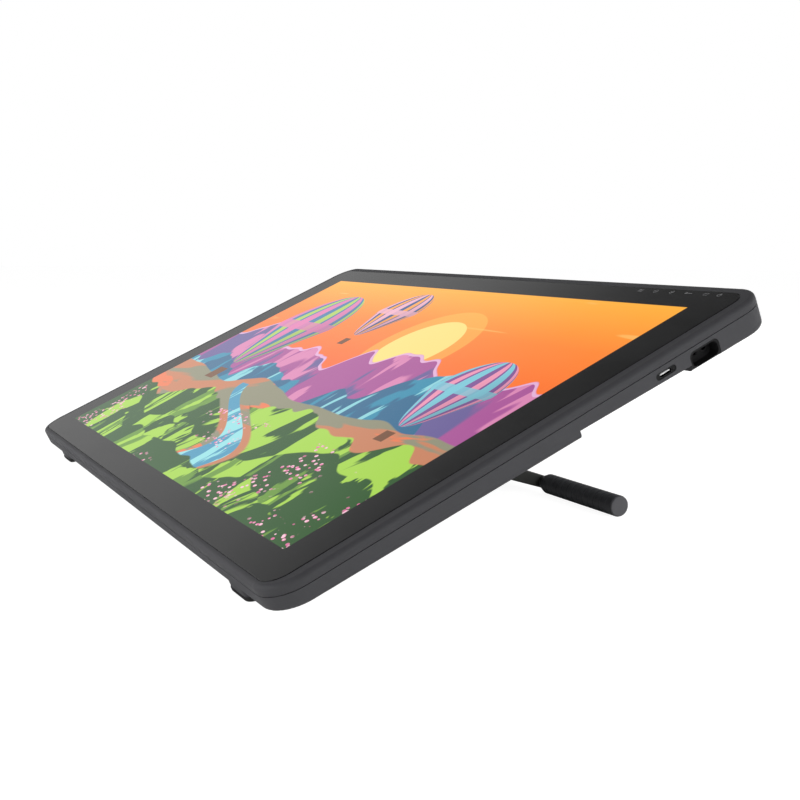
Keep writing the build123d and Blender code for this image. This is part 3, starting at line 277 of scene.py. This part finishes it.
def plastic(name, colour, rough=0.5, grain=0.00035, relief=0.12, spread=0.10):
    """Finely textured moulded plastic with faint patches and rubbed high spots."""
    t = Finish(name)
    place = t.place()
    patches = t.noise(place, scale=35.0, detail=4.0, rough=0.6)
    fine = t.noise(place, scale=1 / grain, detail=2.0, rough=0.6)
    dark = toned(colour, 1 - spread)
    light = toned(colour, 1 + spread, 0.002)
    shade = t.ramp(patches, [(0.3, dark), (0.7, light)])
    speck = t.ramp(fine, [(0.35, dark), (0.75, light)])
    t.set(Base_Color=t.over(0.35, shade, speck))
    wear = t.noise(t.stretched(place, (1.0, 1.0, 3.0)), scale=90.0, detail=6.0, rough=0.7)
    t.set(Roughness=t.plus(t.grade(patches, 0.3, 0.7, rough - 0.05, rough + 0.05),
                           t.grade(wear, 0.62, 0.75, 0.0, -0.08)))
    t.bump(fine, strength=relief, distance=grain * 0.4)
    return t.material


def metal(name, colour, rough=0.3, along=(1.0, 40.0, 40.0), metallic=1.0):
    """Brushed or turned metal: fine lines along one direction and a few dull spots."""
    t = Finish(name)
    place = t.place()
    lines = t.noise(t.stretched(place, along), scale=250.0, detail=4.0, rough=0.65)
    spots = t.noise(place, scale=60.0, detail=3.0, rough=0.6)
    dull = t.grade(spots, 0.4, 0.7)
    t.set(Base_Color=t.over(dull, colour, toned(colour, 0.82)), Metallic=metallic)
    t.set(Roughness=t.plus(t.grade(lines, 0.3, 0.7, rough - 0.08, rough + 0.1),
                           t.grade(spots, 0.5, 0.8, 0.0, 0.08)))
    t.bump(lines, strength=0.08, distance=0.00005)
    return t.material


def rubber(name, colour, rough=0.7):
    """Matt rubber with a fine grain and a little dust in patches."""
    t = Finish(name)
    place = t.place()
    grain = t.noise(place, scale=2200.0, detail=3.0, rough=0.6)
    dust = t.noise(place, scale=140.0, detail=5.0, rough=0.65)
    dusty = t.grade(dust, 0.45, 0.8, 0.0, 0.6)
    t.set(Base_Color=t.over(dusty, colour, toned(colour, 1.6, 0.004)))
    t.set(Roughness=t.grade(dust, 0.3, 0.8, rough - 0.08, rough + 0.12))
    t.bump(grain, strength=0.15, distance=0.0001)
    return t.material


def key_ink():
    """Grey printed ink, a little uneven."""
    t = Finish("key_ink")
    spots = t.noise(t.place(), scale=900.0)
    pale = t.grade(spots, 0.35, 0.65)
    t.set(Base_Color=t.over(pale, linear(118, 118, 120), linear(140, 140, 142)))
    t.set(Roughness=t.grade(spots, 0.3, 0.7, 0.5, 0.65))
    return t.material


class Landscape:
    """A made-up landscape at dusk. Each layer covers a part of the layers before it."""

    # Lengths and places on the glass; BEND_RATE is in radians a metre
    BLUR = 0.0006
    SUN_PLACE = (0.052, 0.052, 0.0)
    SUN_RADIUS = 0.037
    HALO_RADIUS = 0.052
    LIT_EDGE = 0.0030
    RIVER_HEAD = -0.032
    RIVER_PLACE = -0.075
    RIVER_LEAN = -0.9
    BEND_RATE = 62.0
    BEND_START = 0.8
    BEND_REACH = 0.030
    BANK_START = 0.030
    BANK_END = 0.034
    MEADOW_TOP = -0.062

    # Parts of a balloon, in radii from its middle
    BELT_PLACE = 0.12
    BELT_HEIGHT = 0.26
    BASKET_PLACE = -1.50
    BASKET_WIDTH = 0.34
    BASKET_HEIGHT = 0.32

    # Balloons: middle across and up, radius, and three colours of the stripes, the first also
    # that of the belt
    BALLOONS = (
        (-0.150, 0.048, 0.052, (222, 124, 176), (64, 122, 168), (176, 206, 96)),
        (-0.048, 0.088, 0.030, (236, 176, 196), (52, 84, 138), (250, 166, 70)),
        (0.172, 0.012, 0.034, (124, 198, 214), (128, 84, 150), (236, 150, 180)),
    )

    def __init__(self, t, place):
        self.t = t
        self.place = place
        self.across, self.up, _ = t.parts(place)
        self.picture = self.sky()
        self.sun()
        self.far_ridges()
        self.middle_ridges()
        self.plain()
        from_river = self.river()
        self.hill(from_river, base=-0.052, swing=0.046, scale=8.0, seed=57.0, turn=0.55)
        self.hill(from_river, base=-0.088, swing=0.040, scale=7.0, seed=71.3, turn=-0.45)
        self.hill(None, base=-0.112, swing=0.030, scale=9.0, seed=96.1, turn=0.4)
        self.flowers()
        for balloon in self.BALLOONS:
            self.balloon(*balloon)

    def cover(self, share, paint):
        """Puts paint over the picture so far."""
        self.picture = self.t.over(share, self.picture, paint)

    def under(self, line):
        """1 below a line of heights, 0 above it."""
        return self.t.grade(self.t.minus(line, self.up), -self.BLUR, self.BLUR)

    def within(self, value, limit, blur, share=1.0):
        """A share where the value is below a limit, 0 above it."""
        return self.t.grade(value, limit, limit - blur, 0.0, share)

    def ridge(self, base, swing, scale, seed, detail=3.0):
        """A wavy line of heights about a base."""
        wave = self.t.line_noise(self.across, scale, seed, detail)
        return self.t.line(wave, 2 * swing, base - swing)

    def strokes(self, scale, stretch, turn, low, high, detail=3.0, twist=0.6):
        """1 on brush strokes, 0 between them."""
        place = self.t.stretched(self.place, (*stretch, 1.0), turn)
        return self.t.grade(self.t.noise(place, scale, detail, 0.55, twist), low, high)

    def painted(self, base, *layers):
        """A base colour with layers of strokes and their colour over it."""
        for strokes, colour in layers:
            base = self.t.over(strokes, base, colour)
        return base

    def sky(self):
        """Orange sky with haze low down and wisps of cloud high up."""
        t = self.t
        height = t.line(self.up, 1 / ACTIVE_HEIGHT, 0.5)
        sky = t.ramp(height, [
            (0.30, linear(214, 112, 66)),
            (0.55, linear(250, 108, 38)),
            (0.78, linear(252, 134, 42)),
            (1.0, linear(254, 176, 52)),
        ])
        haze = t.times(self.strokes(scale=9.0, stretch=(0.35, 1.6), turn=0.12, low=0.56, high=0.60),
                       t.grade(self.up, -0.02, 0.06, 0.75, 0.0))
        wisps = t.times(self.strokes(scale=14.0, stretch=(0.22, 2.4), turn=-0.1, low=0.60, high=0.62),
                        t.grade(self.up, 0.02, 0.10, 0.0, 0.8))
        return self.painted(sky, (haze, linear(196, 128, 92)), (wisps, linear(255, 188, 96)))

    def sun(self):
        """The sun behind the ridges, in a wider pale disc."""
        from_sun = self.t.distance(self.place, self.SUN_PLACE)
        self.cover(self.within(from_sun, self.HALO_RADIUS, blur=0.0005, share=0.45),
                   linear(255, 196, 84))
        self.cover(self.within(from_sun, self.SUN_RADIUS, blur=0.0004), linear(255, 222, 128))

    def far_ridges(self):
        """Violet ridges with lit edges."""
        crest = self.ridge(base=0.030, swing=0.075, scale=11.0, seed=3.7, detail=2.0)
        self.cover(self.under(crest), self.painted(
            linear(168, 82, 150),
            (self.strokes(scale=20.0, stretch=(1.0, 0.35), turn=0.7, low=0.50, high=0.53),
             linear(104, 92, 150)),
            (self.strokes(scale=26.0, stretch=(1.0, 0.3), turn=-0.5, low=0.58, high=0.60),
             linear(216, 132, 178)),
        ))
        lit_edge = self.within(self.t.minus(crest, self.up), self.LIT_EDGE, blur=0.0004)
        self.cover(self.t.times(self.under(crest), lit_edge), linear(226, 176, 214))

    def middle_ridges(self):
        """Blue ridges with pale streaks."""
        crest = self.ridge(base=-0.012, swing=0.070, scale=9.0, seed=12.4)
        self.cover(self.under(crest), self.painted(
            linear(42, 104, 142),
            (self.strokes(scale=17.0, stretch=(1.2, 0.4), turn=0.9, low=0.49, high=0.51),
             linear(46, 140, 172)),
            (self.strokes(scale=30.0, stretch=(1.3, 0.28), turn=0.8, low=0.58, high=0.60),
             linear(140, 210, 218)),
        ))

    def plain(self):
        """A plain with long warm and green-grey bands."""
        edge = self.ridge(base=-0.030, swing=0.030, scale=6.0, seed=31.0, detail=2.0)
        self.cover(self.under(edge), self.painted(
            linear(198, 128, 92),
            (self.strokes(scale=12.0, stretch=(0.4, 1.6), turn=0.2, low=0.48, high=0.50),
             linear(142, 140, 116)),
            (self.strokes(scale=22.0, stretch=(0.3, 1.8), turn=0.15, low=0.58, high=0.60),
             linear(232, 122, 78)),
        ))

    def river(self):
        """A river that winds and widens towards the lower edge; gives the distance from its middle."""
        t = self.t
        bend = t.math("SINE", t.line(self.up, self.BEND_RATE, self.BEND_START))
        straight = t.line(self.up, self.RIVER_LEAN, self.RIVER_PLACE)
        course = t.line(bend, self.BEND_REACH, straight)
        width = t.grade(self.up, low=-0.134, high=-0.030, to_low=0.030, to_high=0.006)
        from_river = t.size_of(t.minus(self.across, course))
        water = t.grade(t.minus(width, from_river), -self.BLUR, self.BLUR)
        self.cover(t.times(water, self.under(self.RIVER_HEAD)), self.painted(
            linear(72, 152, 186),
            (self.strokes(scale=24.0, stretch=(1.6, 0.35), turn=0.25, low=0.50, high=0.52),
             linear(150, 222, 226)),
        ))
        return from_river

    def hill(self, from_river, base, swing, scale, seed, turn):
        """A hill in lime and deep green, which stays off the river where its distance is given."""
        land = self.under(self.ridge(base, swing, scale, seed))
        if from_river is not None:
            land = self.t.times(land, self.t.grade(from_river, self.BANK_START, self.BANK_END))
        self.cover(land, self.painted(
            linear(166, 212, 74),
            (self.strokes(scale=15.0, stretch=(1.1, 0.45), turn=turn, low=0.47, high=0.485,
                          detail=4.0, twist=1.2), linear(36, 84, 30)),
            (self.strokes(scale=34.0, stretch=(1.2, 0.3), turn=turn, low=0.60, high=0.62,
                          detail=4.0), linear(104, 150, 52)),
        ))

    def flowers(self):
        """Pink flowers in patches on the hills."""
        t = self.t
        cells = t.add("ShaderNodeTexVoronoi")
        t.put(cells.inputs["Vector"], t.stretched(self.place, (1.0, 1.4, 0.0)))
        cells.inputs["Scale"].default_value = 190.0
        petals = self.within(cells.outputs["Distance"], 0.34, blur=0.04)
        patches = self.strokes(scale=11.0, stretch=(0.8, 1.2), turn=0.3, low=0.53, high=0.56)
        pale = t.grade(t.noise(self.place, scale=300.0), 0.45, 0.55)
        self.cover(t.times(petals, t.times(patches, self.under(self.MEADOW_TOP))),
                   t.over(pale, linear(226, 110, 162), linear(252, 202, 218)))

    def balloon(self, x, y, radius, first, second, third):
        """A balloon with striped gores, a belt, shade on one side, and a basket."""
        t = self.t
        first, second, third = (linear(*colour) for colour in (first, second, third))
        aside = t.line(self.across, 1 / radius, -x / radius)
        raised = t.line(self.up, 1 / radius, -y / radius)

        # The envelope narrows towards the basket and is a little taller than wide
        side = t.times(aside, t.grade(raised, low=-1.25, high=0.1, to_low=1.9, to_high=1.0))
        height_square = t.times(t.times(raised, raised), 0.72)
        inside = self.within(t.plus(t.times(side, side), height_square), 1.0, blur=0.03)

        # Gores by the angle round the envelope, whose half width at a height is its reach
        reach = t.math("SQRT", t.math("SUBTRACT", 1.02, height_square, clamp=True))
        angle = t.math("ARCSINE", t.math("DIVIDE", side, t.math("MAXIMUM", reach, 0.05)))
        gore = t.math("FRACT", t.line(angle, 1.15, 0.5))
        stripes = t.ramp(gore, [
            (0.0, first), (0.36, second), (0.62, third), (0.90, second),
        ], "CONSTANT")

        from_belt = t.size_of(t.minus(raised, self.BELT_PLACE))
        belt = self.within(from_belt, self.BELT_HEIGHT / 2, blur=0.01, share=0.85)
        shade = t.grade(t.plus(side, t.times(raised, -0.6)), -0.2, 1.3, 0.0, 0.45)
        self.cover(inside, self.painted(
            stripes, (belt, first), (shade, linear(58, 40, 80)),
        ))
        from_basket = t.size_of(t.minus(raised, self.BASKET_PLACE))
        basket = t.times(self.within(t.size_of(aside), self.BASKET_WIDTH / 2, blur=0.015),
                         self.within(from_basket, self.BASKET_HEIGHT / 2, blur=0.015))
        self.cover(basket, linear(116, 74, 46))


def glass_plane(t):
    """Places across and up the glass as the x and y of a vector; z is the height above it."""
    node = t.add("ShaderNodeMapping", vector_type="TEXTURE")
    t.put(node.inputs["Vector"], t.place())
    node.inputs["Location"].default_value = HEAD
    node.inputs["Rotation"].default_value = (TILT, 0.0, 0.0)
    return node.outputs["Vector"]


def etched_glass():
    """Black-backed etched glass, with the lit picture inside its printed border."""
    t = Finish("etched_glass")
    place = glass_plane(t)
    across, up, _ = t.parts(place)
    beside = t.minus(ACTIVE_WIDTH / 2, t.size_of(across))
    above = t.minus(ACTIVE_HEIGHT / 2, t.size_of(up))
    lit = t.grade(t.math("MINIMUM", beside, above), -BORDER_BLUR, BORDER_BLUR)
    flat = t.stretched(place, (1.0, 1.0, 0.0))
    t.set(Emission_Color=t.over(lit, BLACK, Landscape(t, flat).picture), Emission_Strength=1.0)
    smears = t.noise(t.stretched(place, (1.0, 2.2, 1.0), 0.5), scale=14.0, detail=5.0, rough=0.6)
    grain = t.noise(place, scale=3500.0, detail=2.0)
    t.set(Base_Color=t.over(t.grade(smears, 0.4, 0.7), linear(18, 18, 19), linear(23, 23, 24)))
    t.set(Roughness=t.grade(smears, 0.3, 0.75, 0.17, 0.22), IOR=1.5)
    t.bump(grain, strength=0.03, distance=0.00004)
    return t.material


def node_finishes():
    """The materials, each with the CAD nodes that have it."""
    return (
        (etched_glass(), ["cover_glass"]),
        (plastic("frame_plastic", linear(66, 66, 69)), ["front_frame"]),
        (plastic("cover_plastic", linear(70, 70, 73), 0.55), ["back_cover"]),
        # Near-black plastic. The LCD panel is black itself. The port liner and collar are a real black
        # insert, made this dark so the port niche reads as painted shade
        (plastic("liner_plastic", linear(20, 20, 21), 0.65), [
            "port_liner", "port_collar", "lcd_panel",
        ]),
        (metal("port_metal", (0.10, 0.10, 0.105, 1.0), 0.45), ["side_port_shell"]),
        # The niche port shells: a darker copy of the port metal, painted shade of the port niche
        (metal("port_metal_painted_niche_shade", (0.05, 0.05, 0.052, 1.0), 0.4), ["niche_port_shell"]),
        (metal("tongue_metal", (0.95, 0.95, 0.95, 1.0), 0.5, (1.0, 8.0, 8.0), metallic=0.2), [
            "port_tongues",
        ]),
        (plastic("port_plastic", linear(22, 22, 23), 0.6), ["power_socket"]),
        (plastic("stand_metal", linear(52, 53, 51), grain=0.0005, relief=0.2), [
            "stand_bracket", "leg_frame", "release_lever",
        ]),
        (plastic("leg_plastic", linear(50, 50, 51), 0.55), ["leg_panel"]),
        (plastic("cap_plastic", linear(48, 48, 49), 0.45), [
            "hinge_cap_left", "hinge_cap_right", "foot_core_left", "foot_core_right",
        ]),
        (plastic("disc_plastic", linear(92, 92, 95), 0.42), ["foot_cap_left", "foot_cap_right"]),
        (rubber("foot_rubber", linear(36, 36, 36)), ["front_foot_left", "front_foot_right"]),
        (rubber("sleeve_rubber", linear(70, 71, 74), 0.5), [
            "foot_sleeve_left", "foot_sleeve_right",
        ]),
        (rubber("grip_rubber", linear(40, 40, 41)), ["lever_grip"]),
        (rubber("tape_rubber", linear(30, 30, 30)), ["edge_tape"]),
        (metal("shaft_steel", (0.55, 0.56, 0.58, 1.0), along=(0.2, 30.0, 30.0)), [
            "hinge_shaft", "foot_rod",
        ]),
        (metal("black_steel", (0.06, 0.06, 0.062, 1.0), 0.38, (8.0, 8.0, 8.0), metallic=0.9), [
            "case_screws", "stand_screws", "leg_panel_screws",
            "brake_housing_left", "brake_housing_right",
            "brake_spring_left", "brake_spring_right",
            "lever_spring_left", "lever_spring_right",
        ]),
        (metal("zinc_steel", (0.55, 0.56, 0.57, 1.0), 0.35, (1.0, 1.0, 1.0)), [
            "chassis_screws", "board_screws", "board_standoffs",
        ]),
        (metal("sheet_metal", (0.66, 0.67, 0.68, 1.0), 0.34, (0.3, 20.0, 20.0)), [
            "backlight_tray", "shield_plate", "chassis_plate",
        ]),
        (metal("brass_metal", (0.72, 0.52, 0.24, 1.0), 0.32, (20.0, 20.0, 1.0)), [
            "threaded_inserts",
        ]),
        (metal("bronze_metal", (0.5, 0.36, 0.2, 1.0), 0.4, (0.3, 25.0, 25.0)), [
            "hinge_bush_left", "hinge_bush_right",
        ]),
        (plastic("board_mask", linear(24, 84, 58), 0.35, grain=0.0006, relief=0.2), [
            "light_bar", "digitizer_board", "touch_key_board", "main_board", "pen_board",
        ]),
        (plastic("ribbon_film", linear(196, 150, 82), 0.4, grain=0.0009, relief=0.1), [
            "display_ribbon", "digitizer_ribbon", "link_ribbon", "key_ribbon",
        ]),
        (plastic("white_film", linear(232, 232, 230), grain=0.0008, relief=0.05, spread=0.03), [
            "diffuser_sheets", "reflector_sheet",
        ]),
        (plastic("clear_plastic", linear(210, 220, 224), 0.2,
                 grain=0.001, relief=0.03, spread=0.03), ["light_guide", "optical_bond"]),
        (plastic("module_plastic", linear(200, 200, 196)), ["backlight_surround"]),
    )


def dress_nodes():
    """Gives every CAD node its material."""
    dressed = set()
    for material, names in node_finishes():
        for name in names:
            for material_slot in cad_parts[name].material_slots:
                material_slot.material = material
            dressed.add(name)
    assert dressed == set(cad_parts), set(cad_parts) - dressed


def slab(work, outline):
    """A flat form of ink, with its outline given on the glass."""
    low = [work.verts.new(on_glass(x, y)) for x, y in outline]
    high = [work.verts.new(on_glass(x, y, INK_THICKNESS)) for x, y in outline]
    work.faces.new(high)
    count = len(outline)
    for i in range(count):
        j = (i + 1) % count
        work.faces.new((low[i], low[j], high[j], high[i]))


def on_circle(x, y, radius, angle):
    """A point on a circle on the glass."""
    return (x + radius * math.cos(angle), y + radius * math.sin(angle))


def ring(work, x, y, line, count=28, start=0.0, end=math.tau):
    """A ring or an arc of a ring, in short pieces."""
    outer, inner = RING_RADIUS, RING_RADIUS - line
    angles = [start + (end - start) * i / count for i in range(count + 1)]
    for first, second in zip(angles, angles[1:]):
        slab(work, [on_circle(x, y, outer, first), on_circle(x, y, outer, second),
                    on_circle(x, y, inner, second), on_circle(x, y, inner, first)])


def bar(work, x, y, width, height):
    """A rectangle about its middle."""
    left, right = x - width / 2, x + width / 2
    bottom, top = y - height / 2, y + height / 2
    slab(work, [(left, bottom), (right, bottom), (right, top), (left, top)])


def disc(work, x, y, radius, count=20):
    """A round spot."""
    slab(work, [on_circle(x, y, radius, math.tau * i / count) for i in range(count)])


def menu_mark(work):
    """Three lines."""
    for step in (-1, 0, 1):
        bar(work, MENU_PLACE, KEY_ROW + step * MENU_STEP, MENU_WIDTH, THICK_LINE)


def minus_mark(work):
    """A minus sign in a ring."""
    ring(work, MINUS_PLACE, KEY_ROW, THIN_LINE)
    bar(work, MINUS_PLACE, KEY_ROW, SIGN_WIDTH, THIN_LINE)


def plus_mark(work):
    """A plus sign in a ring; its upright is in two pieces, above and below the level line."""
    ring(work, PLUS_PLACE, KEY_ROW, THIN_LINE)
    bar(work, PLUS_PLACE, KEY_ROW, SIGN_WIDTH, THIN_LINE)
    for side in (1, -1):
        bar(work, PLUS_PLACE, KEY_ROW + side * (SIGN_WIDTH + THIN_LINE) / 4,
            THIN_LINE, (SIGN_WIDTH - THIN_LINE) / 2)


def slider_mark(work):
    """A line with a knob on it."""
    bar(work, SLIDER_PLACE, KEY_ROW, SLIDER_WIDTH, THICK_LINE)
    disc(work, SLIDER_PLACE + SLIDER_KNOB_OFFSET, KEY_ROW, SLIDER_KNOB_RADIUS)


def window_mark(work):
    """A rectangle drawn with a thin line."""
    for side in (1, -1):
        bar(work, WINDOW_PLACE, KEY_ROW + side * (WINDOW_HEIGHT - THIN_LINE) / 2,
            WINDOW_WIDTH, THIN_LINE)
    for side in (-1, 1):
        bar(work, WINDOW_PLACE + side * (WINDOW_WIDTH - THIN_LINE) / 2, KEY_ROW,
            THIN_LINE, WINDOW_HEIGHT - 2 * THIN_LINE)


def power_mark(work):
    """A ring that is open at its top, and a line in the opening."""
    top = math.radians(90)
    ring(work, POWER_PLACE, KEY_ROW, THICK_LINE, count=22,
         start=top + POWER_GAP / 2, end=top + math.tau - POWER_GAP / 2)
    bar(work, POWER_PLACE, KEY_ROW + POWER_LINE_RISE, THICK_LINE, POWER_LINE_HEIGHT)


def floor_form(work):
    """A wide disc."""
    bmesh.ops.create_circle(work, cap_ends=True, segments=FLOOR_SIDES, radius=FLOOR_RADIUS)


def mesh_object(name, build, material, outwards=False):
    """A new object with a mesh that a function fills in, with its faces outwards if asked."""
    work = bmesh.new()
    build(work)
    if outwards:
        bmesh.ops.recalc_face_normals(work, faces=work.faces)
    mesh = bpy.data.meshes.new(name)
    work.to_mesh(mesh)
    work.free()
    mesh.materials.append(material)
    return add_object(name, mesh)


def add_key_marks():
    """The printed marks of the touch keys: thin raised ink on the glass."""
    ink = key_ink()
    for name, mark in (("mark_menu", menu_mark), ("mark_minus", minus_mark),
                       ("mark_plus", plus_mark), ("mark_slider", slider_mark),
                       ("mark_window", window_mark), ("mark_power", power_mark)):
        piece = mesh_object(name, mark, ink, outwards=True)
        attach(piece, "display")


def floor_material():
    """A pale floor, with a glow that makes it white to the camera and lights nothing."""
    t = Finish("floor")
    spots = t.grade(t.noise(t.place(), scale=3.0), 0.3, 0.7)
    t.set(Base_Color=t.over(spots, FLOOR_DARK, FLOOR_LIGHT), Roughness=0.9)
    glow = t.add("ShaderNodeEmission")
    glow.inputs["Strength"].default_value = FLOOR_GLOW
    rays = t.add("ShaderNodeLightPath")
    mixed = t.add("ShaderNodeMixShader")
    t.put(mixed.inputs[0], t.times(rays.outputs["Is Camera Ray"], FLOOR_GLOW_SHARE))
    t.put(mixed.inputs[1], t.shader.outputs[0])
    t.put(mixed.inputs[2], glow.outputs[0])
    t.put(t.tree.nodes["Material Output"].inputs["Surface"], mixed.outputs[0])
    return t.material


def add_sky():
    """White to the camera; elsewhere a bright low band and a dim upper part, as in a studio."""
    world = bpy.data.worlds.new("studio")
    bpy.context.scene.world = world
    world.use_nodes = True
    t = Nodes(world.node_tree)
    _, _, height = t.parts(t.add("ShaderNodeTexCoord").outputs["Generated"])
    band = t.grade(height, math.sin(LOW_SKY_END), math.sin(HIGH_SKY_START),
                   LOW_SKY, HIGH_SKY, "SMOOTHSTEP")
    rays = t.add("ShaderNodeLightPath")
    strength = t.add("ShaderNodeMix")
    t.put(strength.inputs[0], rays.outputs["Is Camera Ray"])
    t.put(strength.inputs[2], band)
    t.put(strength.inputs[3], 1.0)
    background = world.node_tree.nodes["Background"]
    t.put(background.inputs["Color"], WHITE)
    t.put(background.inputs["Strength"], strength.outputs[0])


def add_lamp(name, place, aim, side, power):
    """A soft square lamp that faces a point and shows in no reflection."""
    data = bpy.data.lights.new(name, "AREA")
    data.shape = "SQUARE"
    data.size = side
    data.energy = power
    thing = add_object(name, data)
    thing.location = place
    thing.rotation_euler = (Vector(aim) - Vector(place)).to_track_quat("-Z", "Y").to_euler()
    thing.visible_glossy = False


add_camera()
bpy.context.scene.view_settings.view_transform = "Standard"

dress_nodes()
add_key_marks()

floor = mesh_object("floor", floor_form, floor_material())
add_sky()
for lamp in LAMPS:
    add_lamp(*lamp)
